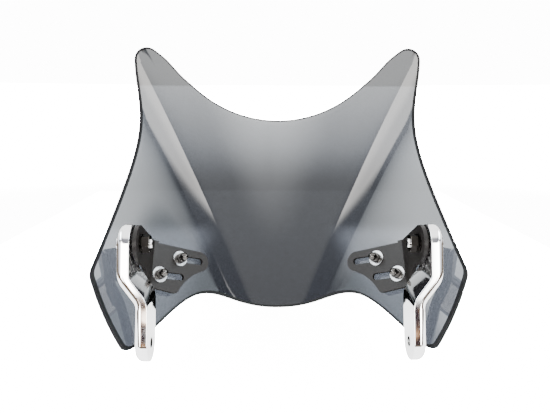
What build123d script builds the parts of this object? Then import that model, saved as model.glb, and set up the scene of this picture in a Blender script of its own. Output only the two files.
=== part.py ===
from build123d import *
import os
from math import sqrt, tan, radians

# Smoked motorcycle windscreen on two slotted brackets and two chromed side arms.
# Millimetres, +Z up. The rider sits at -Y and looks at the hollow face of the screen.
# Everything is drawn with the lowest point of the screen's middle at the origin, and
# the whole assembly is set down on its bounding box's bottom centre at the end.

# ---- screen sheet -------------------------------------------------------------
sheet_thickness = 4.8
middle_lean = 18.8          # degrees that the middle leans back at its lower edge
profile_radius = 900.0      # upright curve of the middle panel
bow_radius = 900.0          # sideways curve of the middle panel
fold_start = 52.0           # half distance between the two soft folds at z = 0
fold_spread = 0.44          # how fast the folds part on the way up
fold_softness = 22.0        # half width of the rounded fold
wing_slope = 0.97           # how steeply a wing comes forward at z = 0
wing_slope_loss = 0.0013    # what the slope loses for each mm of height

# grid of points that the sheet is drawn through, a little larger than its outline
columns = 42
rows = 36
half_width = 212.0
low = -12.0
high = 340.0

# outline of the right half, seen square on: (sideways, up)
arch_low = (51.0, 10.5)
arch_top = (99.0, 28.8)
arch_end = (136.7, 12.4)
lobe_tip = (160.5, -2.0)
lobe_side = (185.5, 43.0)
corner = (201.0, 81.0)
waist_low = (178.6, 165.6)
waist = (168.0, 240.0)
horn_side = (171.2, 275.0)
horn_center = (159.3, 308.0)    # middle of the horn's round tip
horn_radius = 14.5
horn_sweep = 127.0          # degrees of the round tip, from the outer side over the top
horn_inner_high = (138.0, 309.4)
horn_inner_low = (121.0, 290.7)
notch_low = (0.0, 234.6)
notch_radius = 152.0
notch_sweep = 40.0          # degrees of arc before the notch runs up the horn
lobe_round = 11.0
corner_round = 16.0

# ---- slotted bracket ----------------------------------------------------------
bracket_thickness = 4.0
bracket_standoff = 6.0      # rider face of the screen to the back of the bracket plate
first_screw = (-123.8, 70.8)   # (x, z) of the upper screw of the left bracket
slot_heading = (0.774, 0.550, -0.313)   # from the outer slot end to the nose
slot_travel = 28.0
slot_width = 8.0
second_slot = (-26.0, -22.0)   # lower slot from the upper one, in the plate's plane
nose_radius = 12.3
bend_top = 16.0             # ends of the bend line, up the plate's plane
bend_bottom = -37.0
lower_corner = (-3.0, -42.0)
waist_point = (16.0, -20.0)
nose_end = (32.0, -11.6)    # where the round nose runs into the waist
plate_corner_round = 4.0
plate_normal_at = (-135.1, 65.3)   # (x, z) between the screws that sets the plate's tilt
bend_round = 5.0            # radius of the bend at the middle of the metal
bend_overlap = 3.6          # how far the ear's straight foot runs into the bend
flange_reach = 110.0        # length of sheet on each side of the bend before trimming
ear_middle_x = 146.5

# ---- pivot and arm ------------------------------------------------------------
pivot_y = -100.0
pivot_z = 114.5
ear_radius = 19.0
ear_relief_center = (-110.0, 60.0)   # (y, z) of the round cut that lets the arm's jog pass
ear_relief_radius = 33.0
pivot_bolt_radius = 5.0
pivot_running_gap = 0.05
arm_top_radius = 20.0
arm_foot_radius = 18.8
arm_foot_y = -127.0
arm_foot_z = 17.3
arm_thickness = 14.0
arm_upper_x = 158.25        # middle of the arm's thickness above and below the jog
arm_lower_x = 139.2
jog_top_z = 84.0
jog_bottom_z = 60.0
jog_round = 18.0
arm_dome_round = 8.0        # the arm's outer side is domed, its inner side flat
arm_inner_round = 1.0
arm_bore_radius = 5.25

# ---- fasteners (M6 through the screen, M10 at the pivot) ----------------------
screw_radius = 3.0
screw_hole_radius = 4.6
button_head_radius = 5.25
button_head_height = 3.3
button_head_round = 2.3
socket_across_flats = 4.0
socket_depth = 2.0
screw_in_nut = 8.5          # how far a bracket screw reaches into its acorn nut
outer_washer_radius = 7.5
outer_washer_thickness = 2.0
grommet_radius = 8.5
grommet_sleeve_radius = 4.5
grommet_sleeve_end = -4.3   # the sleeve stops just short of the screen's front
flat_washer_radius = 9.0
flat_washer_thickness = 1.6
spring_washer_radius = 5.9
spring_washer_thickness = 1.6
spring_washer_cut = 1.2
spring_washer_slant = 20.0
acorn_across_flats = 10.0
acorn_hex_height = 5.5
acorn_dome_radius = 4.75
acorn_height = 12.0
acorn_bore_depth = 9.5
acorn_corner_cut = 0.7      # bevel on the hexagon's corners
thread_gap = 0.05
washer_gap = 0.2            # between a washer and its screw
face_gap = 0.05             # between parts that slide or turn on each other
pivot_washer_radius = 10.0
pivot_washer_thickness = 1.6
pivot_nut_across_flats = 17.0
pivot_nut_height = 8.4
pivot_nut_corner_cut = 1.2
pivot_bolt_end = 2.5
pivot_bolt_tip_round = 2.0
pivot_head_radius = 8.0
pivot_head_height = 3.2
pivot_head_round = 2.6
spacer_radius = 13.0

# heights above the screen's rider face, along the screws
washer_seat = bracket_standoff + bracket_thickness + 2 * face_gap
spring_seat = washer_seat + flat_washer_thickness
nut_seat = spring_seat + spring_washer_thickness
head_seat = -sheet_thickness - outer_washer_thickness

# places along X on the left side
arm_outer = -arm_upper_x - arm_thickness / 2
arm_inner = -arm_upper_x + arm_thickness / 2
ear_outer = -ear_middle_x - bracket_thickness / 2
ear_inner = -ear_middle_x + bracket_thickness / 2
pivot_nut_seat = ear_inner + face_gap + pivot_washer_thickness
bolt_end = pivot_nut_seat + pivot_nut_height + pivot_bolt_end

beyond = 400.0              # longer than anything that is cut
through = 40.0              # thicker than the bracket and its standoff
past = 10.0                 # how far a drill runs past what it cuts
far_left = -200.0           # outside the left arm, where a drill along X starts


# ---- screen surface -----------------------------------------------------------
def ramp(t):
    """Zero well inside the fold, t well outside it, and rounded between."""
    return 0.5 * (t + sqrt(t * t + fold_softness ** 2))


def screen_y(x, z):
    """Height field of the rider face: its y at a place (x, z)."""
    fold = fold_start + fold_spread * z
    wing = ramp(x - fold) + ramp(-x - fold) - 2 * ramp(-fold)
    lean = tan(radians(middle_lean)) * z
    bow = z * z / (2 * profile_radius) + x * x / (2 * bow_radius)
    return lean - bow - (wing_slope - wing_slope_loss * z) * wing


def screen_point(x, z):
    """Point of the rider face."""
    return Vector(x, screen_y(x, z), z)


def screen_normal(x, z):
    """Unit normal of the rider face, towards the rider."""
    step = 0.5
    across = screen_point(x + step, z) - screen_point(x - step, z)
    up = screen_point(x, z + step) - screen_point(x, z - step)
    return across.cross(up).normalized()


def screen_outline():
    """Outline as a flat face, drawn as a right half and mirrored."""
    notch_center = (0, notch_low[1] + notch_radius)
    notch = CenterArc(notch_center, notch_radius, -90, notch_sweep)
    tip = CenterArc(horn_center, horn_radius, 0, horn_sweep)
    inner_side = [tip @ 1, horn_inner_high, horn_inner_low, notch @ 1]
    right = [
        Spline((0, 0), arch_low, arch_top, arch_end, lobe_tip, tangents=[(1, 0), (0.86, -0.5)]),
        ThreePointArc(lobe_tip, lobe_side, corner),
        Spline(corner, waist_low, waist, horn_side, tip @ 0, tangents=[(-0.26, 0.97), (0, 1)]),
        tip,
        Spline(*inner_side, tangents=[tip % 1, -(notch % 1)]),
        notch,
        Line(notch_low, (0, 0)),
    ]
    half = make_face(Wire(right).edges())
    return half + mirror(half, about=Plane.YZ)


def corner_edges(prism, spot):
    """The two long edges of the prism that stand on one outline corner and its mirror."""
    return [
        e for e in prism.edges().filter_by(Axis.Y)
        if abs(abs(e.center().X) - spot[0]) < 0.1 and abs(e.center().Z - spot[1]) < 0.1
    ]


def make_screen():
    """Bent sheet: the rider's face cut to its outline and thickened away from the rider."""
    grid = []
    for i in range(columns + 1):
        x = -half_width + 2 * half_width * i / columns
        grid.append([screen_point(x, low + (high - low) * j / rows) for j in range(rows + 1)])
    surface = Face.make_surface_from_array_of_points(grid, tol=0.02, min_deg=3, max_deg=5)
    outline = Plane.XZ * screen_outline()
    prism = extrude(outline, amount=beyond, both=True)
    for spot, radius in ((lobe_tip, lobe_round), (corner, corner_round)):
        prism = fillet(corner_edges(prism, spot), radius)
    face = surface.intersect(prism).faces()[0]
    return Solid.thicken(face, sheet_thickness, normal_override=(0, 1, 0))


# ---- places on the left bracket -----------------------------------------------
def plate_plane():
    """Touches the rider face at the upper screw; x runs along the slots, z to the rider."""
    outward = screen_normal(*plate_normal_at)
    heading = Vector(*slot_heading)
    heading = (heading - outward * heading.dot(outward)).normalized()
    return Plane(origin=screen_point(*first_screw), x_dir=heading, z_dir=outward)


PLATE = plate_plane()
PLATE_MIDDLE = bracket_standoff + face_gap + bracket_thickness / 2
SCREWS = [(0.0, 0.0), second_slot]


def on_plate(s, t, height):
    """World point at (s, t) on the plate plane, a height above the screen."""
    return PLATE.from_local_coords(Vector(s, t, height))


def bend_point(t):
    """Where the middle of the plate's metal meets the middle of the ear's, at height t."""
    start = on_plate(0, t, PLATE_MIDDLE)
    return on_plate((-ear_middle_x - start.X) / PLATE.x_dir.X, t, PLATE_MIDDLE)


def screw_plane(spot, height):
    """Plane square to a screw, a height above the screen."""
    return Plane(origin=on_plate(*spot, height), x_dir=PLATE.x_dir, z_dir=PLATE.z_dir)


def pin(spot, radius, low, high):
    """Cylinder on one screw's line, between two heights above the screen."""
    return extrude(screw_plane(spot, low) * Circle(radius), amount=high - low)


def hexagon(spot, across_flats, low, high):
    """Hexagonal prism on one screw's line, between two heights above the screen."""
    outline = RegularPolygon(across_flats / 2, 6, major_radius=False)
    return extrude(screw_plane(spot, low) * outline, amount=high - low)


# ---- bracket ------------------------------------------------------------------
def plate_outline():
    """Plate from the bend to the nose, drawn in the plate plane."""
    back = PLATE.to_local_coords(bend_point(0)).X - bend_round
    nose_top = (slot_travel, nose_radius)
    nose_tip = (slot_travel + nose_radius, 0)
    edge = [
        Line((back, bend_top), nose_top),
        ThreePointArc(nose_top, nose_tip, nose_end),
        Spline(nose_end, waist_point, lower_corner),
        Line(lower_corner, (back, bend_bottom)),
        Line((back, bend_bottom), (back, bend_top)),
    ]
    return make_face(Wire(edge).edges())


def ear_outline():
    """Ear from the bend to its rounded end about the pivot, drawn on the YZ plane."""
    top = bend_point(bend_top)
    bottom = bend_point(bend_bottom)
    rim = CenterArc((pivot_y, pivot_z), ear_radius, 0, 360)
    foot = Line((top.Y + bend_overlap, top.Z), (bottom.Y + bend_overlap, bottom.Z))
    return make_hull(rim.edges() + foot.edges())


def bent_sheet():
    """Endless strip of sheet metal, bent between the plate and the ear."""
    fold_line = (bend_point(bend_top) - bend_point(bend_bottom)).normalized()
    corner_point = bend_point(0)
    plate_way = PLATE.x_dir
    ear_way = Vector(1, 0, 0).cross(fold_line)
    across = plate_way - fold_line * plate_way.dot(fold_line)
    section = Plane(origin=corner_point, x_dir=across, z_dir=fold_line)
    ear_end = section.to_local_coords(corner_point + ear_way * flange_reach)
    plate_end = section.to_local_coords(corner_point + plate_way * flange_reach)
    line = FilletPolyline((ear_end.X, ear_end.Y), (0, 0), (plate_end.X, plate_end.Y), radius=bend_round)
    return extrude(section * trace(line, bracket_thickness), amount=beyond / 2, both=True)


def make_bracket():
    """Slotted plate and pivot ear, bent from one piece of sheet."""
    plate = extrude(PLATE * plate_outline(), amount=through)
    corner_middle = on_plate(*lower_corner, through / 2)
    corner_edge = plate.edges().sort_by(lambda e: (e.center() - corner_middle).length)[0]
    plate = fillet(corner_edge, plate_corner_round)
    ear_start = ear_outer - past
    ear = extrude(side_plane(ear_start) * ear_outline(), amount=bracket_thickness + 2 * past)
    ear -= x_cylinder(ear_relief_radius, far_left, 0, *ear_relief_center)
    bracket = bent_sheet() & (plate + ear)
    for s, t in SCREWS:
        slot = Pos(s + slot_travel / 2, t) * SlotCenterToCenter(slot_travel, slot_width)
        bracket -= extrude(PLATE * slot, amount=through)
    return bracket - x_cylinder(pivot_bolt_radius + pivot_running_gap, ear_start, ear_inner + past)


# ---- screw stacks through the screen ------------------------------------------
def largest(shape):
    """The solid that matters when a cut leaves thin scraps behind."""
    return shape.solids().sort_by(SortBy.VOLUME)[-1]


def make_grommet(spot, screen):
    """Rubber collar moulded to the screen, with a sleeve down the screen's hole."""
    collar = largest(pin(spot, grommet_radius, -bracket_standoff / 2, bracket_standoff) - screen)
    sleeve = pin(spot, grommet_sleeve_radius, grommet_sleeve_end, bracket_standoff / 2)
    return collar + sleeve - pin(spot, screw_radius + thread_gap, -past, past)


def make_outer_washer(spot, screen):
    """Rubber washer between the screen's front and the screw head."""
    disc = largest(pin(spot, outer_washer_radius, head_seat, -sheet_thickness / 2) - screen)
    return disc - pin(spot, screw_radius + thread_gap, head_seat - past, past)


def make_bracket_screw(spot):
    """Button-head screw with a hexagon socket."""
    top = head_seat - button_head_height
    head = pin(spot, button_head_radius, top, head_seat)
    rims = head.edges().filter_by(GeomType.CIRCLE)
    head = fillet(rims.sort_by(lambda e: PLATE.to_local_coords(e.center()).Z)[0], button_head_round)
    head -= hexagon(spot, socket_across_flats, top - past, top + socket_depth)
    return head + pin(spot, screw_radius, head_seat, nut_seat + screw_in_nut)


def make_flat_washer(spot):
    ring = pin(spot, flat_washer_radius, washer_seat, spring_seat)
    return ring - pin(spot, screw_radius + washer_gap, washer_seat - past, spring_seat + past)


def make_spring_washer(spot):
    """Square-section ring with a slanted cut through one side."""
    ring = pin(spot, spring_washer_radius, spring_seat, nut_seat)
    ring -= pin(spot, screw_radius + washer_gap / 2, spring_seat - past, nut_seat + past)
    blade = Box(spring_washer_cut, spring_washer_radius, through)
    tilted = Pos(0, spring_washer_radius, 0) * Rot(0, spring_washer_slant, 0) * blade
    return ring - screw_plane(spot, spring_seat) * tilted


def bevelled(cylinder, size):
    """The cylinder with both rims cut back, which takes the corners off a hexagon."""
    return chamfer(cylinder.edges().filter_by(GeomType.CIRCLE), size)


def make_acorn_nut(spot):
    """Hexagon nut with a round blind cap."""
    hex_top = nut_seat + acorn_hex_height
    corners = pin(spot, acorn_across_flats / sqrt(3), nut_seat, hex_top)
    nut = hexagon(spot, acorn_across_flats, nut_seat, hex_top) & bevelled(corners, acorn_corner_cut)
    dome_base = nut_seat + acorn_height - acorn_dome_radius
    nut += pin(spot, acorn_dome_radius, nut_seat, dome_base)
    nut += Pos(*on_plate(*spot, dome_base)) * Sphere(acorn_dome_radius)
    return nut - pin(spot, screw_radius + thread_gap, nut_seat - past, nut_seat + acorn_bore_depth)


# ---- pivot and arm ------------------------------------------------------------
def side_plane(x):
    """YZ plane at a given x, looking inwards from the left."""
    return Plane(origin=(x, 0, 0), x_dir=(0, 1, 0), z_dir=(1, 0, 0))


def x_cylinder(radius, low, high, y=pivot_y, z=pivot_z):
    """Cylinder along X, about the pivot unless a place is given."""
    return extrude(side_plane(low) * Pos(y, z) * Circle(radius), amount=high - low)


def arm_middle_x(z):
    """X of the middle of the left arm's thickness at a height."""
    share = (jog_top_z - z) / (jog_top_z - jog_bottom_z)
    return -arm_upper_x + (arm_upper_x - arm_lower_x) * min(max(share, 0), 1)


def arm_rims(arm, side):
    """Edges around the arm's outer side, -1, or around its inner side, 1."""
    rims = []
    for edge in arm.edges():
        way = edge.tangent_at(0.5)
        middle = edge.center()
        runs_across = abs(way.X) > 0.99 or abs(way.Y) > 0.999
        if not runs_across and side * (middle.X - arm_middle_x(middle.Z)) > 0:
            rims.append(edge)
    return rims


def make_arm():
    """Cast arm: two round-ended flats joined by an inward jog, domed on the outside."""
    spine = FilletPolyline(
        (-arm_upper_x, pivot_z + 2 * arm_top_radius),
        (-arm_upper_x, jog_top_z),
        (-arm_lower_x, jog_bottom_z),
        (-arm_lower_x, arm_foot_z - 2 * arm_foot_radius),
        radius=jog_round,
    )
    slab = extrude(Plane.XZ * trace(spine, arm_thickness), amount=beyond, both=True)
    ends = [
        CenterArc((pivot_y, pivot_z), arm_top_radius, 0, 360).edge(),
        CenterArc((arm_foot_y, arm_foot_z), arm_foot_radius, 0, 360).edge(),
    ]
    arm = slab & extrude(side_plane(far_left) * make_hull(ends), amount=-far_left)
    arm = fillet(arm_rims(arm, 1), arm_inner_round)
    arm = fillet(arm_rims(arm, -1), arm_dome_round)
    arm -= x_cylinder(pivot_bolt_radius + thread_gap, far_left, 0)
    return arm - x_cylinder(arm_bore_radius, far_left, 0, arm_foot_y, arm_foot_z)


def make_pivot_bolt():
    """Button-head bolt that clamps the arm and turns in the bracket's ear."""
    head = x_cylinder(pivot_head_radius, arm_outer - pivot_head_height, arm_outer)
    head = fillet(head.edges().filter_by(GeomType.CIRCLE).sort_by(Axis.X)[0], pivot_head_round)
    shank = x_cylinder(pivot_bolt_radius, arm_outer, bolt_end)
    tip = shank.edges().filter_by(GeomType.CIRCLE).sort_by(Axis.X)[-1]
    return head + fillet(tip, pivot_bolt_tip_round)


def make_pivot_nut():
    hexagon_face = RegularPolygon(pivot_nut_across_flats / 2, 6, major_radius=False)
    nut = extrude(side_plane(pivot_nut_seat) * Pos(pivot_y, pivot_z) * hexagon_face, amount=pivot_nut_height)
    corners = x_cylinder(pivot_nut_across_flats / sqrt(3), pivot_nut_seat, pivot_nut_seat + pivot_nut_height)
    nut &= bevelled(corners, pivot_nut_corner_cut)
    return nut - x_cylinder(pivot_bolt_radius + thread_gap, far_left, 0)


def make_pivot_washer():
    ring = x_cylinder(pivot_washer_radius, ear_inner + face_gap, pivot_nut_seat)
    return ring - x_cylinder(pivot_bolt_radius + washer_gap, far_left, 0)


def make_pivot_spacer():
    ring = x_cylinder(spacer_radius, arm_inner, ear_outer - face_gap)
    return ring - x_cylinder(pivot_bolt_radius + thread_gap, far_left, 0)


def left_side(screen_blank):
    """Every piece of the left side, by name."""
    return {
        "bracket": [make_bracket()],
        "bracket_screws": [make_bracket_screw(s) for s in SCREWS],
        "outer_washers": [make_outer_washer(s, screen_blank) for s in SCREWS],
        "grommets": [make_grommet(s, screen_blank) for s in SCREWS],
        "flat_washers": [make_flat_washer(s) for s in SCREWS],
        "spring_washers": [make_spring_washer(s) for s in SCREWS],
        "acorn_nuts": [make_acorn_nut(s) for s in SCREWS],
        "arm": [make_arm()],
        "pivot_bolt": [make_pivot_bolt()],
        "pivot_spacer": [make_pivot_spacer()],
        "pivot_washer": [make_pivot_washer()],
        "pivot_nut": [make_pivot_nut()],
    }


def main():
    blank = make_screen()
    screen = blank
    for spot in SCREWS:
        hole = pin(spot, screw_hole_radius, -2 * past, past)
        screen = screen - hole - mirror(hole, about=Plane.YZ)
    pieces = {"windscreen": [screen]}
    for name, solids in left_side(blank).items():
        pieces["left_" + name] = solids
        pieces["right_" + name] = [mirror(solid, about=Plane.YZ) for solid in solids]
    boxes = [solid.bounding_box() for solids in pieces.values() for solid in solids]
    rearmost = min(box.min.Y for box in boxes)
    foremost = max(box.max.Y for box in boxes)
    lowest = min(box.min.Z for box in boxes)
    stand = Pos(0, -(rearmost + foremost) / 2, -lowest)
    os.makedirs("parts", exist_ok=True)
    for name, solids in pieces.items():
        placed = [stand * solid for solid in solids]
        shape = placed[0] if len(placed) == 1 else Compound(children=placed)
        export_step(shape, f"parts/{name}.step")


main()
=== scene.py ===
import math

import bmesh
import bpy
from mathutils import Matrix, Vector
from mathutils.geometry import delaunay_2d_cdt


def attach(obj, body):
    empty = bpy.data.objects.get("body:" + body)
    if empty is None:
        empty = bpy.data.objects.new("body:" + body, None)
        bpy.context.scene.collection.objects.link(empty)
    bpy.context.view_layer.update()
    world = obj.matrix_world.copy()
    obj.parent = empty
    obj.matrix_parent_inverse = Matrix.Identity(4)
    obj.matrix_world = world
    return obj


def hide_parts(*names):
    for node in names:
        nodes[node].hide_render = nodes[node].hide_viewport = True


# Smoked motorcycle windscreen on two slotted brackets and two chromed side arms.
# Metres, +Z up, the rider at -Y. Lengths named here are in millimetres where they end in _MM.

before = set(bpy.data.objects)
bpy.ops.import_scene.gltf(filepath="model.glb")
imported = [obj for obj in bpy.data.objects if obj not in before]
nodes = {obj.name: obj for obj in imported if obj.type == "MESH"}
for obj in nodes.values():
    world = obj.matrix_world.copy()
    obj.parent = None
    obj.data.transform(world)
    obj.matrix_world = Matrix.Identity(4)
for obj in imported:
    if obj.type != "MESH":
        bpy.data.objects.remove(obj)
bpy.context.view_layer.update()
MM = 0.001
SIDES = {"left": -1, "right": 1}


# ---- camera -------------------------------------------------------------------
CAMERA_PLACE = Vector((-0.0163, -0.5541, 0.2614))
CAMERA_PITCH = math.radians(12.0)      # downwards
CAMERA_TURN = math.radians(-1.19)      # anticlockwise seen from above
CAMERA_ROLL = math.radians(0.21)
CAMERA_LENS_MM = 32.73
SENSOR_WIDTH_MM = 36.0


def make_camera():
    data = bpy.data.cameras.new("camera")
    data.lens = CAMERA_LENS_MM
    data.sensor_width = SENSOR_WIDTH_MM
    data.sensor_fit = "HORIZONTAL"
    camera = bpy.data.objects.new("camera", data)
    bpy.context.scene.collection.objects.link(camera)
    turn = Matrix.Rotation(CAMERA_TURN, 4, "Z")
    tilt = Matrix.Rotation(math.pi / 2 - CAMERA_PITCH, 4, "X")
    roll = Matrix.Rotation(CAMERA_ROLL, 4, "Z")
    camera.matrix_world = Matrix.Translation(CAMERA_PLACE) @ turn @ tilt @ roll
    bpy.context.scene.camera = camera


# ---- material helpers ---------------------------------------------------------
class Nodes:
    """A node tree, of a material or of the world, with short calls for the nodes used below."""

    def __init__(self, name, world=False):
        self.owner = (bpy.data.worlds if world else bpy.data.materials).new(name)
        self.owner.use_nodes = True
        self.tree = self.owner.node_tree
        self.tree.nodes.clear()
        self.output = self.add("ShaderNodeOutputWorld" if world else "ShaderNodeOutputMaterial")
        self.place = self.add("ShaderNodeTexCoord").outputs["Generated" if world else "Object"]

    def add(self, kind, **values):
        node = self.tree.nodes.new(kind)
        for key, value in values.items():
            setattr(node, key, value)
        return node

    def link(self, source, target):
        if hasattr(source, "is_output"):
            self.tree.links.new(source, target)
        else:
            target.default_value = source

    def noise(self, scale, detail=3.0, roughness=0.5):
        node = self.add("ShaderNodeTexNoise")
        node.inputs["Scale"].default_value = scale
        node.inputs["Detail"].default_value = detail
        node.inputs["Roughness"].default_value = roughness
        self.tree.links.new(self.place, node.inputs["Vector"])
        return node.outputs["Fac"]

    def ramp(self, factor, low, high, at=(0.0, 1.0)):
        """Value or colour that runs from low to high as factor runs between the two places."""
        node = self.add("ShaderNodeValToRGB")
        for stop, place, value in zip(node.color_ramp.elements, at, (low, high)):
            stop.position = place
            stop.color = value if isinstance(value, tuple) else grey(value)
        self.tree.links.new(factor, node.inputs["Fac"])
        return node.outputs["Color"]

    def math(self, operation, first, second=0.0):
        node = self.add("ShaderNodeMath", operation=operation)
        self.link(first, node.inputs[0])
        self.link(second, node.inputs[1])
        return node.outputs["Value"]

    def fade(self, value, start, end, first=1.0, last=0.0):
        """Runs smoothly from first to last as value runs from start to end; start and end may be sockets."""
        node = self.add("ShaderNodeMapRange", interpolation_type="SMOOTHSTEP")
        for number, setting in enumerate((value, start, end, first, last)):
            self.link(setting, node.inputs[number])
        return node.outputs["Result"]

    def part(self, axis):
        """One axis of the place on the object, or of the direction in the world."""
        node = self.add("ShaderNodeSeparateXYZ")
        self.tree.links.new(self.place, node.inputs["Vector"])
        return node.outputs[axis]

    def mix(self, factor, first, second):
        node = self.add("ShaderNodeMix", data_type="RGBA")
        self.link(factor, node.inputs[0])
        self.link(first, node.inputs[6])
        self.link(second, node.inputs[7])
        return node.outputs[2]

    def bump(self, height, strength, distance):
        node = self.add("ShaderNodeBump")
        node.inputs["Strength"].default_value = strength
        node.inputs["Distance"].default_value = distance
        self.tree.links.new(height, node.inputs["Height"])
        return node.outputs["Normal"]

    def principled(self, **sockets):
        node = self.add("ShaderNodeBsdfPrincipled")
        for name, value in sockets.items():
            self.link(value, node.inputs[name.replace("_", " ")])
        return node.outputs["BSDF"]

    def finish(self, shader):
        self.tree.links.new(shader, self.output.inputs["Surface"])
        return self.owner


def grey(value):
    return (value, value, value, 1.0)


# ---- materials ----------------------------------------------------------------
SHEET_HEIGHT = 0.324
SHEET_IOR = 1.49
TINT_LOW = (0.052, 0.055, 0.061, 1)            # what passes each surface, at the foot
TINT_HIGH = (0.086, 0.089, 0.093, 1)           # and at the horns; fitted to the bright backdrop below


def smoked_sheet():
    """Polished see-through grey acrylic, a little denser towards its foot."""
    made = Nodes("smoked_sheet")
    height = made.math("MULTIPLY", made.part("Z"), 1 / SHEET_HEIGHT)
    wisps = made.math("MULTIPLY", made.noise(6.0, 2.0), 0.06)
    tint = made.ramp(made.math("ADD", height, wisps), TINT_LOW, TINT_HIGH, at=(0.1, 0.95))
    clear = made.add("ShaderNodeBsdfTransparent")
    made.tree.links.new(tint, clear.inputs["Color"])
    gloss = made.add("ShaderNodeBsdfGlossy")
    gloss.inputs["Color"].default_value = grey(1.0)
    made.tree.links.new(made.ramp(made.noise(30.0), 0.012, 0.03), gloss.inputs["Roughness"])
    mirror_share = made.add("ShaderNodeFresnel")
    mirror_share.inputs["IOR"].default_value = SHEET_IOR
    surface = made.add("ShaderNodeMixShader")
    made.tree.links.new(mirror_share.outputs[0], surface.inputs["Fac"])
    made.tree.links.new(clear.outputs[0], surface.inputs[1])
    made.tree.links.new(gloss.outputs[0], surface.inputs[2])
    return made.finish(surface.outputs[0])


def smoked_rim():
    """The sheet's sawn and flamed edge, which looks nearly black because light runs along the sheet."""
    made = Nodes("smoked_rim")
    grain = made.noise(240.0, 4.0)
    return made.finish(made.principled(
        Base_Color=made.ramp(grain, (0.005, 0.0053, 0.006, 1), (0.013, 0.0137, 0.015, 1)),
        Roughness=made.ramp(grain, 0.22, 0.40),
        Specular_IOR_Level=0.06,
        Normal=made.bump(grain, 0.15, 0.0002),
    ))


def powder_coat():
    """Satin black powder coat with fine orange peel."""
    made = Nodes("black_powder_coat")
    cloud = made.noise(18.0, 2.0)
    peel = made.noise(900.0, 2.0)
    return made.finish(made.principled(
        Base_Color=made.ramp(cloud, (0.008, 0.0072, 0.0070, 1), (0.014, 0.013, 0.0125, 1)),
        Roughness=made.ramp(cloud, 0.36, 0.46),
        Specular_IOR_Level=0.22,
        Normal=made.bump(peel, 0.25, 0.0001),
    ))


def plated(name, dark, bright, rough_low, rough_high, scale=60.0):
    """Polished plate with faint smears in its gloss and very fine unevenness."""
    made = Nodes(name)
    smear = made.noise(scale, 4.0, 0.6)
    return made.finish(made.principled(
        Base_Color=made.ramp(smear, dark, bright, at=(0.3, 0.7)),
        Metallic=1.0,
        Roughness=made.ramp(smear, rough_low, rough_high, at=(0.3, 0.7)),
        Normal=made.bump(made.noise(35.0, 1.0), 0.05, 0.0006),
    ))


def rough_cast():
    """Unpolished casting under black plate, with bright specks."""
    made = Nodes("rough_cast")
    grain = made.noise(420.0, 4.0, 0.7)
    return made.finish(made.principled(
        Base_Color=made.ramp(grain, grey(0.010), grey(0.9), at=(0.54, 0.60)),
        Metallic=made.ramp(grain, 0.2, 0.9, at=(0.5, 0.6)),
        Roughness=made.ramp(grain, 0.5, 0.25),
        Normal=made.bump(grain, 1.0, 0.001),
    ))


def rubber():
    made = Nodes("black_rubber")
    grain = made.noise(1200.0, 3.0)
    return made.finish(made.principled(
        Base_Color=made.ramp(grain, grey(0.012), grey(0.024)),
        Roughness=made.ramp(grain, 0.62, 0.8),
        Normal=made.bump(grain, 0.3, 0.0001),
    ))


# ---- windscreen ---------------------------------------------------------------
# The rider face is the same height field as in the CAD model, and stands where the CAD has it.
CAD_SHIFT = Vector((0, 45.8636, 1.5474)) * MM  # the move by which part.py stands the whole part on the floor
SHEET_MM = 4.8
LEAN = math.tan(math.radians(18.8))
CURVE_RADIUS_MM = 900.0
FOLD_START_MM = 52.0
FOLD_SPREAD = 0.44
FOLD_SOFT_MM = 22.0
WING_SLOPE = 0.97
WING_SLOPE_LOSS = 0.0013
EDGE_ROUND = 1.3 * MM
EDGE_STEPS = 5
HOLE_ROUND = 0.3 * MM
HOLE_STEP = 1.0 * MM
OFF_FACE = 0.6 * MM                    # a CAD face this far from the height field isn't on the rider's side
FACE_AGREES = 0.8                      # nor is one whose normal agrees less than this with the field's
CORNER_GRID_MM = 0.01                  # CAD corners closer than this are one corner
CURVE_PARTS = 8                        # pieces of curve to one step of a smoothed loop
TINY = 1e-7
NO_LENGTH = 1e-12                      # stands in for a length of nothing in a division
GRID_CLEARANCE = 0.6                   # of FACE_STEP, between an inner point and the rim
NOTCH_ABOVE = 0.225                    # the notch is above this height and between the horns
NOTCH_HALF = 0.155
LOBE_BELOW = 0.105
LOBE_FROM = 0.145
JOIN = 0.3 * MM                        # strip that joins the rim to the faces
DARK_OF_BAND = 0.9                     # the dark starts this far into the band
DARK_OF_JOIN = 0.1                     # and this far into the strip
CLEAR = 0                              # the sheet's material slots
DARK = 1
INSIDE_ONLY = 1                        # delaunay_2d_cdt's choice of triangles inside the loops
DARK_EDGE = 1.3 * MM                   # how far the dark of the rim shows inside the rounded edge
DARK_EDGE_LOBE = 1.7 * MM
DARK_EDGE_NOTCH = 0.3 * MM
FACE_STEP = 5.0 * MM
OUTLINE_STEP = 2.5 * MM


def ramp_up(t):
    return 0.5 * (t + math.sqrt(t * t + FOLD_SOFT_MM ** 2))


def sheet_y(x, z):
    """Y of the rider face, in metres, at a place (x, z) in metres."""
    u = x / MM
    v = (z - CAD_SHIFT.z) / MM
    fold = FOLD_START_MM + FOLD_SPREAD * v
    wing = ramp_up(u - fold) + ramp_up(-u - fold) - 2 * ramp_up(-fold)
    bow = (u * u + v * v) / (2 * CURVE_RADIUS_MM)
    y = LEAN * v - bow - (WING_SLOPE - WING_SLOPE_LOSS * v) * wing
    return y * MM + CAD_SHIFT.y


def sheet_point(x, z):
    return Vector((x, sheet_y(x, z), z))


def sheet_normal(x, z):
    """Unit normal towards the rider."""
    step = 0.5 * MM
    across = sheet_point(x + step, z) - sheet_point(x - step, z)
    up = sheet_point(x, z + step) - sheet_point(x, z - step)
    return across.cross(up).normalized()


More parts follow.
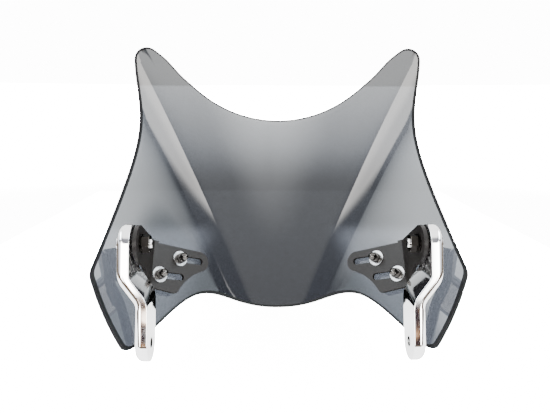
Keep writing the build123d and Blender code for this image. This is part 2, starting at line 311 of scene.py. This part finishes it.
def rider_face_loops():
    """Closed edge loops of the CAD sheet's rider face, as (x, z): the outline first, then the holes."""
    mesh = nodes["windscreen"].data
    def key(index):
        return tuple(round(c / (CORNER_GRID_MM * MM)) for c in mesh.vertices[index].co)
    count = {}
    for face in mesh.polygons:
        centre = face.center
        if abs(centre.y - sheet_y(centre.x, centre.z)) > OFF_FACE:
            continue
        if face.normal.dot(sheet_normal(centre.x, centre.z)) < FACE_AGREES:
            continue
        corners = [key(i) for i in face.vertices]
        for a, b in zip(corners, corners[1:] + corners[:1]):
            if (b, a) in count:
                del count[(b, a)]
            else:
                count[(a, b)] = True
    following = {a: b for a, b in count}
    loops = []
    while following:
        start, spot = following.popitem()
        loop = [start]
        while spot != start:
            loop.append(spot)
            spot = following.pop(spot)
        loops.append([Vector((c[0], c[2])) * CORNER_GRID_MM * MM for c in loop])
    return sorted(loops, key=lambda l: -abs(area(l)))


def area(loop):
    return sum(a.cross(b) for a, b in zip(loop, loop[1:] + loop[:1])) / 2


def smooth_loop(loop, step):
    """The loop with even spacing, on a smooth curve through its corners."""
    if area(loop) < 0:
        loop = loop[::-1]
    n = len(loop)
    dense = []
    for i in range(n):
        p0, p1, p2, p3 = (loop[(i + k) % n] for k in (-1, 0, 1, 2))
        length = (p2 - p1).length
        if length < TINY:
            continue
        t1 = ((p1 - p0) / max((p1 - p0).length, TINY) + (p2 - p1) / length).normalized() * length
        t2 = ((p2 - p1) / length + (p3 - p2) / max((p3 - p2).length, TINY)).normalized() * length
        pieces = max(1, round(length / (step / CURVE_PARTS)))
        for k in range(pieces):
            t = k / pieces
            h = (
                2 * t ** 3 - 3 * t ** 2 + 1,
                t ** 3 - 2 * t ** 2 + t,
                3 * t ** 2 - 2 * t ** 3,
                t ** 3 - t ** 2,
            )
            dense.append(p1 * h[0] + t1 * h[1] + p2 * h[2] + t2 * h[3])
    lengths = [(b - a).length for a, b in zip(dense, dense[1:] + dense[:1])]
    total = sum(lengths)
    wanted = round(total / step)
    even = []
    walked = 0.0
    for spot, after, length in zip(dense, dense[1:] + dense[:1], lengths):
        while len(even) < wanted and walked + length >= len(even) * total / wanted:
            share = (len(even) * total / wanted - walked) / max(length, NO_LENGTH)
            even.append(spot.lerp(after, min(max(share, 0), 1)))
        walked += length
    return even


def dark_edge(spot):
    """Width of the dark edge at a place on the outline: wide on the lobes, thin in the notch."""
    if spot.y > NOTCH_ABOVE and abs(spot.x) < NOTCH_HALF:
        return DARK_EDGE_NOTCH
    if spot.y < LOBE_BELOW and abs(spot.x) > LOBE_FROM:
        return DARK_EDGE_LOBE
    return DARK_EDGE


def eased(widths, reach=4):
    """The widths averaged with their neighbours, so that they change gradually along the outline."""
    n = len(widths)
    window = range(-reach, reach + 1)
    return [sum(widths[(i + k) % n] for k in window) / len(window) for i in range(n)]


def inward(loop, solid_inside):
    """Unit vectors in the xz plane that point into the sheet."""
    found = []
    n = len(loop)
    for i in range(n):
        way = (loop[(i + 1) % n] - loop[i - 1]).normalized()
        left = Vector((-way.y, way.x))
        found.append(left if solid_inside else -left)
    return found


class SheetMesh:
    """The sheet's mesh as it grows, with the direction in which each vertex is shaded."""

    def __init__(self):
        self.bm = bmesh.new()
        self.facings = {}

    def vertex(self, spot, depth, facing):
        """New vertex at this depth in the sheet, straight behind a spot on the rider face."""
        v = self.bm.verts.new(sheet_point(spot.x, spot.y) - sheet_normal(spot.x, spot.y) * depth)
        self.facings[v] = facing
        return v

    def finish(self, name):
        """The mesh as an object in the scene."""
        loose = [v for v in self.bm.verts if not v.link_faces]
        bmesh.ops.delete(self.bm, geom=loose, context="VERTS")
        for face in self.bm.faces:
            face.smooth = True
        mesh = bpy.data.meshes.new(name)
        self.bm.verts.index_update()
        facings = [self.facings[v] for v in self.bm.verts]
        self.bm.to_mesh(mesh)
        self.bm.free()
        mesh.normals_split_custom_set_from_vertices(facings)
        piece = bpy.data.objects.new(name, mesh)
        bpy.context.scene.collection.objects.link(piece)
        return piece


def rim_profile(round_by, band):
    """Inset, depth and turn of each vertex across the rim, from the rider face round to the front."""
    thickness = SHEET_MM * MM
    profile = [
        (round_by + band + JOIN, 0.0, 0.0),
        (round_by + DARK_OF_BAND * band + DARK_OF_JOIN * JOIN, 0.0, 0.0),
    ]
    for k in range(EDGE_STEPS + 1):
        turn = math.pi / 2 * k / EDGE_STEPS
        profile.append((round_by * (1 - math.sin(turn)), round_by * (1 - math.cos(turn)), turn))
    return profile + [(inset, thickness - depth, math.pi - turn) for inset, depth, turn in reversed(profile)]


def add_rim(sheet, loop, solid_inside, round_by):
    """Adds the rounded edge along a loop. Returns its columns of vertices and the loop at its inner end."""
    ways = inward(loop, solid_inside)
    bands = eased([dark_edge(spot) if solid_inside else 0.0 for spot in loop])
    columns = []
    for spot, way, band in zip(loop, ways, bands):
        normal = sheet_normal(spot.x, spot.y)
        out = sheet_point(spot.x, spot.y) - sheet_point(spot.x + way.x * MM, spot.y + way.y * MM)
        out = (out - normal * out.dot(normal)).normalized()
        column = []
        for inset, depth, turn in rim_profile(round_by, band):
            facing = normal * math.cos(turn) + out * math.sin(turn)
            column.append(sheet.vertex(spot + way * inset, depth, facing))
        columns.append(column)
    for column, after in zip(columns, columns[1:] + columns[:1]):
        last = len(column) - 2
        for k in range(last + 1):
            quad = (column[k], column[k + 1], after[k + 1], after[k])
            face = sheet.bm.faces.new(quad if solid_inside else quad[::-1])
            face.material_index = CLEAR if k in (0, last) else DARK
    inner = [spot + way * (round_by + band + JOIN) for spot, way, band in zip(loop, ways, bands)]
    return columns, inner


def cell_of(spot):
    """The square of a grid of FACE_STEP that a spot lies in."""
    return round(spot.x / FACE_STEP), round(spot.y / FACE_STEP)


def face_spots(rim_spots, outline):
    """Staggered spots over the outline's box that keep clear of the rim."""
    cells = {}
    for spot in rim_spots:
        cells.setdefault(cell_of(spot), []).append(spot)
    low = Vector((min(s.x for s in outline), min(s.y for s in outline)))
    high = Vector((max(s.x for s in outline), max(s.y for s in outline)))
    clear = []
    for i in range(int((high.x - low.x) / FACE_STEP)):
        for j in range(int((high.y - low.y) / FACE_STEP)):
            spot = low + Vector((i + 0.5 + 0.5 * (j % 2), j + 0.5)) * FACE_STEP
            across, up = cell_of(spot)
            around = [(across + a, up + b) for a in (-1, 0, 1) for b in (-1, 0, 1)]
            near = [p for beside in around for p in cells.get(beside, [])]
            if all((p - spot).length > GRID_CLEARANCE * FACE_STEP for p in near):
                clear.append(spot)
    return clear


def add_faces(sheet, outline, rims):
    """Fills the rider face and the front face between the rims, and leaves the holes open."""
    spots = []
    edges = []
    for _, inner in rims:
        first = len(spots)
        spots += inner
        edges += [(first + i, first + (i + 1) % len(inner)) for i in range(len(inner))]
    rim_count = len(spots)
    spots += face_spots(spots, outline)
    found, _, triangles, sources, _, _ = delaunay_2d_cdt(spots, edges, [], INSIDE_ONLY, TINY)
    centres = [sum(inner, Vector((0, 0))) / len(inner) for _, inner in rims[1:]]
    radii = [(inner[0] - centre).length for (_, inner), centre in zip(rims[1:], centres)]
    for depth, column_end, side in ((0.0, 0, 1), (SHEET_MM * MM, -1, -1)):
        rim_vertices = [column[column_end] for columns, _ in rims for column in columns]
        vertices = []
        for spot, source in zip(found, sources):
            on_rim = [s for s in source if s < rim_count]
            if on_rim:
                vertices.append(rim_vertices[on_rim[0]])
            else:
                vertices.append(sheet.vertex(spot, depth, sheet_normal(spot.x, spot.y) * side))
        for triangle in triangles:
            middle = sum((found[i] for i in triangle), Vector((0, 0))) / 3
            if any((middle - centre).length < radius for centre, radius in zip(centres, radii)):
                continue
            corners = [vertices[i] for i in triangle]
            if len(set(corners)) == 3:
                sheet.bm.faces.new(corners if side > 0 else corners[::-1])


def make_windscreen():
    loops = rider_face_loops()
    outline = smooth_loop(loops[0], OUTLINE_STEP)
    sheet = SheetMesh()
    rims = [add_rim(sheet, outline, True, EDGE_ROUND)]
    for loop in loops[1:]:
        rims.append(add_rim(sheet, smooth_loop(loop, HOLE_STEP), False, HOLE_ROUND))
    add_faces(sheet, outline, rims)
    piece = sheet.finish("windscreen_sheet")
    piece.data.materials.append(smoked_sheet())
    piece.data.materials.append(smoked_rim())
    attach(piece, "screen")
    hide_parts("windscreen")


# ---- finishes on the CAD nodes ------------------------------------------------
JOG_TOP = 0.088                        # the arm's inner face is left as cast above this height
FACES_INWARDS = 0.9                    # least part of a face's normal that points to the middle


def dress(node, material):
    mesh = nodes[node].data
    mesh.materials.clear()
    mesh.materials.append(material)


def dress_nodes():
    chrome = plated("polished_chrome", grey(0.86), grey(0.93), 0.03, 0.07)
    black_chrome = plated("black_chrome", (0.020, 0.018, 0.016, 1), (0.040, 0.036, 0.032, 1), 0.08, 0.16)
    smoked_nickel = plated("smoked_nickel", (0.075, 0.072, 0.068, 1), (0.12, 0.115, 0.11, 1), 0.10, 0.18)
    zinc = plated("bright_zinc", grey(0.30), grey(0.45), 0.14, 0.24, 200.0)
    cast = rough_cast()
    coat = powder_coat()
    black = rubber()
    finish = {
        "bracket": coat, "bracket_screws": black_chrome, "outer_washers": black, "grommets": black,
        "flat_washers": zinc, "spring_washers": smoked_nickel, "acorn_nuts": smoked_nickel, "arm": chrome,
        "pivot_bolt": chrome, "pivot_spacer": coat, "pivot_washer": black_chrome, "pivot_nut": black_chrome,
    }
    for side, sign in SIDES.items():
        for name, material in finish.items():
            dress(f"{side}_{name}", material)
        leave_inner_face_cast(nodes[f"{side}_arm"], sign, cast)


def leave_inner_face_cast(arm, sign, cast):
    """Gives the arm's inner face the cast finish above the jog."""
    arm.data.materials.append(cast)
    turn = arm.matrix_world.to_3x3()
    for face in arm.data.polygons:
        inwards = -sign * (turn @ face.normal).x
        height = (arm.matrix_world @ face.center).z
        if inwards > FACES_INWARDS and height > JOG_TOP:
            face.material_index = 1


# ---- studio -------------------------------------------------------------------
# Directions are unit vectors; "up" is their z and "aside" the size of their x.
# The room is made up. Its places and strengths are fitted to what the sheet reflects, so it isn't plain
# light. The camera sees a brighter backdrop and floor than the ones that light the parts.
WALL_TOP_AT = math.sin(math.radians(1.5))      # top of the lit band on the far wall
TABLE_EDGE_AT = math.sin(math.radians(-4.1))
LOOK_BAND = 40.0                               # what the camera sees of the wall's band
LOOK_TOP = 14.0                                # of the wall above it
LOOK_TABLE = 14.0                              # and of the table
LOOK_TABLE_SOFT = 0.10                         # how far below its edge the table turns into the band
WALL_TOP_SOFT = 0.002

WINDOW_ASIDE = 0.035                           # the window is this far right of straight behind
WINDOW_UP = 0.108                              # its top, but for the peak and the rise
WINDOW_PEAK = 0.022                            # how much higher it is right in its middle
WINDOW_PEAK_HALF = 0.10
WINDOW_RISE = 0.30                             # how its top climbs towards the sides
WINDOW_SOFT = 0.045
WINDOW = (8.5, 8.5, 8.4, 1)
WINDOW_MIDDLE = (19.0, 19.2, 19.0, 1)
WINDOW_MIDDLE_HALF = 0.08
OVER_WINDOW = (3.8, 3.8, 3.8, 1)               # faint glow on the wall above its middle
OVER_WINDOW_FOOT = 0.165
OVER_WINDOW_TOP = 0.215
OVER_WINDOW_HALF = 0.07
SCREEN_FROM = 0.285                            # bright screens stand on both sides of the window
SCREEN_TO = 0.715
SCREEN_UP = 0.196
SCREEN_TOP = 0.395
SCREEN_BLEND = (0.22, 0.32)                    # heights between which its low light turns into its high
SCREEN_LOW = (19.0, 18.4, 17.6, 1)
SCREEN_HIGH = (12.5, 12.2, 11.8, 1)
ROOM = (1.5, 1.48, 1.46, 1)
ROOM_ASIDE = (0.4, 0.4, 0.45, 1)
ROOM_BLEND = (0.20, 0.34)                      # how far from the window ROOM turns into ROOM_ASIDE
BELOW_TABLE = (0.25, 0.20, 0.16, 1)
SIDE_UP = 0.418                                # the side walls are dark below this, lit above
SIDE_DROP_FROM = 0.835                         # and the dark part ends lower from here outwards
SIDE_DROP = 1.2
SIDE_DARK = (0.10, 0.10, 0.12, 1)
SIDE_FOOT = (2.0, 2.0, 2.1, 1)                 # and lit again at their foot
SIDE_FOOT_UP = 0.18
SIDE_FOOT_SOFT = 0.08
SIDE_LIT = (1.5, 1.6, 1.7, 1)
SIDE_BRIGHT = (14.0, 14.6, 15.0, 1)
SIDE_BLEND = (0.41, 0.51)                      # heights between which SIDE_LIT turns into SIDE_BRIGHT
SIDE_END = 0.86                                # the lit side walls end near here
SIDE_END_SOFT = 0.01
SIDE_BEYOND = (2.7, 3.0, 3.2, 1)
LOW_TOP = 0.120                                # dark, brown and pale things stand along the foot of the room
LOW_FROM = 0.21
LOW_TO = 0.45
LOW_DARKER_RIGHT = 0.35
LOW_DARK = (0.05, 0.035, 0.045, 1)
LOW_BROWN = (0.9, 0.48, 0.25, 1)
LOW_PALE = (6.0, 4.9, 4.2, 1)
BROWN_BLEND = (0.52, 0.55)                     # noise between which dark turns into brown
PALE_BLEND = (0.59, 0.62)                      # and brown into pale
HEAP_SCALE = 26.0
CLUTTER_SCALE = 9.0
CLUTTER_HEIGHT = 0.05                          # how uneven their top is
HORIZON_SOFT = 0.01
CEILING = (3.0, 3.0, 3.0, 1)
CEILING_BLEND = (0.60, 0.80)
FRONT_WALL = (3.0, 3.0, 3.0, 1)
FRONT_BLEND = (0.15, 0.5)
EDGE = 0.008                                   # softness of a sharp edge

TABLE = (-0.5, -0.24, 0.5, 0.9)                # x and y of its corners
TABLE_GLOW = 1.6
LOOK_PAINTED_POOL = 60.0                               # what the camera sees of the painted pools of light on the table's sides
POOL_FROM = 0.09
POOL_FULL = 0.17
POOL_FAR = 0.35
POOL_FAR_SOFT = 0.2


def wall_look(made, up):
    """The lit far wall and the table in front of it, as the camera sees them."""
    band = made.fade(up, TABLE_EDGE_AT - LOOK_TABLE_SOFT, TABLE_EDGE_AT, 0.0, 1.0)
    top = made.fade(up, WALL_TOP_AT - WALL_TOP_SOFT, WALL_TOP_AT + WALL_TOP_SOFT, 0.0, 1.0)
    lower = made.mix(band, grey(LOOK_TABLE), grey(LOOK_BAND))
    return made.mix(top, lower, grey(LOOK_TOP))


def room_light(made, up):
    """The room behind the rider, as it shows in the sheet and lights the parts."""
    across = made.part("X")
    aside = made.math("ABSOLUTE", across)
    from_window = made.math("ABSOLUTE", made.math("SUBTRACT", across, WINDOW_ASIDE))
    climb = made.math("MULTIPLY", from_window, WINDOW_RISE)
    peak = made.fade(from_window, 0.0, WINDOW_PEAK_HALF, WINDOW_UP + WINDOW_PEAK, WINDOW_UP)
    over_window = made.math("SUBTRACT", up, made.math("ADD", climb, peak))
    window = made.mix(made.fade(from_window, 0.0, WINDOW_MIDDLE_HALF), WINDOW, WINDOW_MIDDLE)
    dim = made.mix(made.fade(from_window, *ROOM_BLEND), ROOM_ASIDE, ROOM)
    over_middle = made.fade(from_window, 0.0, OVER_WINDOW_HALF)
    haze = made.math("MULTIPLY", made.fade(up, OVER_WINDOW_FOOT, OVER_WINDOW_TOP), over_middle)
    dim = made.mix(haze, dim, OVER_WINDOW)
    middle = made.mix(made.fade(over_window, -WINDOW_SOFT, WINDOW_SOFT), dim, window)
    screen_top = made.math("MINIMUM", made.math("ADD", climb, SCREEN_UP), SCREEN_TOP)
    over_screen = made.math("SUBTRACT", up, screen_top)
    screen = made.mix(made.fade(up, *SCREEN_BLEND), SCREEN_HIGH, SCREEN_LOW)
    beside = made.mix(made.fade(over_screen, -EDGE, EDGE), ROOM_ASIDE, screen)
    past_window = made.fade(from_window, SCREEN_FROM - EDGE, SCREEN_FROM + EDGE, 0.0, 1.0)
    behind = made.mix(past_window, middle, beside)
    drop = made.math("MULTIPLY", made.math("SUBTRACT", aside, SIDE_DROP_FROM), SIDE_DROP)
    side_edge = made.math("SUBTRACT", SIDE_UP, made.math("MAXIMUM", drop, 0.0))
    over_side = made.math("SUBTRACT", up, side_edge)
    lit = made.mix(made.fade(up, *SIDE_BLEND), SIDE_BRIGHT, SIDE_LIT)
    lit = made.mix(made.fade(aside, SIDE_END - SIDE_END_SOFT, SIDE_END + SIDE_END_SOFT), SIDE_BEYOND, lit)
    dark = made.mix(made.fade(up, SIDE_FOOT_UP, SIDE_FOOT_UP + SIDE_FOOT_SOFT), SIDE_DARK, SIDE_FOOT)
    side = made.mix(made.fade(over_side, -EDGE, 2 * EDGE), lit, dark)
    past_screens = made.fade(aside, SCREEN_TO - EDGE, SCREEN_TO + EDGE, 0.0, 1.0)
    round_about = made.mix(past_screens, behind, side)
    clutter = made.math("MULTIPLY", made.noise(CLUTTER_SCALE, 2.0), CLUTTER_HEIGHT)
    low_top = made.math("ADD", clutter, LOW_TOP - CLUTTER_HEIGHT / 2)
    rightwards = made.math("MAXIMUM", across, 0.0)
    darker = made.math("MULTIPLY", rightwards, LOW_DARKER_RIGHT)
    heap = made.math("SUBTRACT", made.noise(HEAP_SCALE, 1.0), darker)
    low = made.mix(made.fade(heap, *BROWN_BLEND, 0.0, 1.0), LOW_DARK, LOW_BROWN)
    low = made.mix(made.fade(heap, *PALE_BLEND, 0.0, 1.0), low, LOW_PALE)
    is_low = made.fade(made.math("SUBTRACT", up, low_top), -EDGE / 2, EDGE / 2)
    is_low = made.math("MULTIPLY", is_low, made.fade(aside, LOW_FROM, LOW_FROM + EDGE, 0.0, 1.0))
    is_low = made.math("MULTIPLY", is_low, made.fade(aside, LOW_TO, LOW_TO + 4 * EDGE))
    round_about = made.mix(is_low, round_about, low)
    lid = made.mix(made.fade(up, *CEILING_BLEND, 0.0, 1.0), round_about, CEILING)
    open_front = made.mix(made.fade(made.part("Y"), *FRONT_BLEND, 0.0, 1.0), lid, FRONT_WALL)
    return made.mix(made.fade(up, -HORIZON_SOFT, HORIZON_SOFT), open_front, BELOW_TABLE)


def make_world():
    made = Nodes("studio", world=True)
    up = made.part("Z")
    is_camera = made.add("ShaderNodeLightPath").outputs["Is Camera Ray"]
    glow = made.add("ShaderNodeBackground")
    made.tree.links.new(made.mix(is_camera, room_light(made, up), wall_look(made, up)), glow.inputs["Color"])
    bpy.context.scene.world = made.finish(glow.outputs[0])


def table_top():
    """Pale table top that glows faintly, and brightly where the camera looks at it; the camera also sees
    painted pools of light on its near sides.
    """
    made = Nodes("pale_table")
    is_camera = made.add("ShaderNodeLightPath").outputs["Is Camera Ray"]
    aside = made.math("ABSOLUTE", made.part("X"))
    near = made.fade(made.part("Y"), POOL_FAR, POOL_FAR + POOL_FAR_SOFT)
    # painted pools of light: the camera sees the table brighter to both sides of the sheet, out to POOL_FAR
    painted_pool = made.math("MULTIPLY", near, made.fade(aside, POOL_FROM, POOL_FULL, 0.0, 1.0))
    look = made.fade(painted_pool, 0.0, 1.0, LOOK_TABLE, LOOK_PAINTED_POOL)
    return made.finish(made.principled(
        Base_Color=made.ramp(made.noise(3.0), grey(0.80), grey(0.84)),
        Roughness=0.6,
        Emission_Color=grey(1.0),
        Emission_Strength=made.fade(is_camera, 0.0, 1.0, TABLE_GLOW, look),
    ))


def lay_flat(name, corners, height, material):
    """Level rectangle of the studio, given by the x and y of two corners."""
    left, near, right, far = corners
    mesh = bpy.data.meshes.new(name)
    spots = [(left, near, height), (right, near, height), (right, far, height), (left, far, height)]
    mesh.from_pydata(spots, [], [(0, 1, 2, 3)])
    mesh.materials.append(material)
    piece = bpy.data.objects.new(name, mesh)
    bpy.context.scene.collection.objects.link(piece)


def make_studio():
    lay_flat("floor", TABLE, 0.0, table_top())
    make_world()


make_camera()
make_windscreen()
dress_nodes()
make_studio()
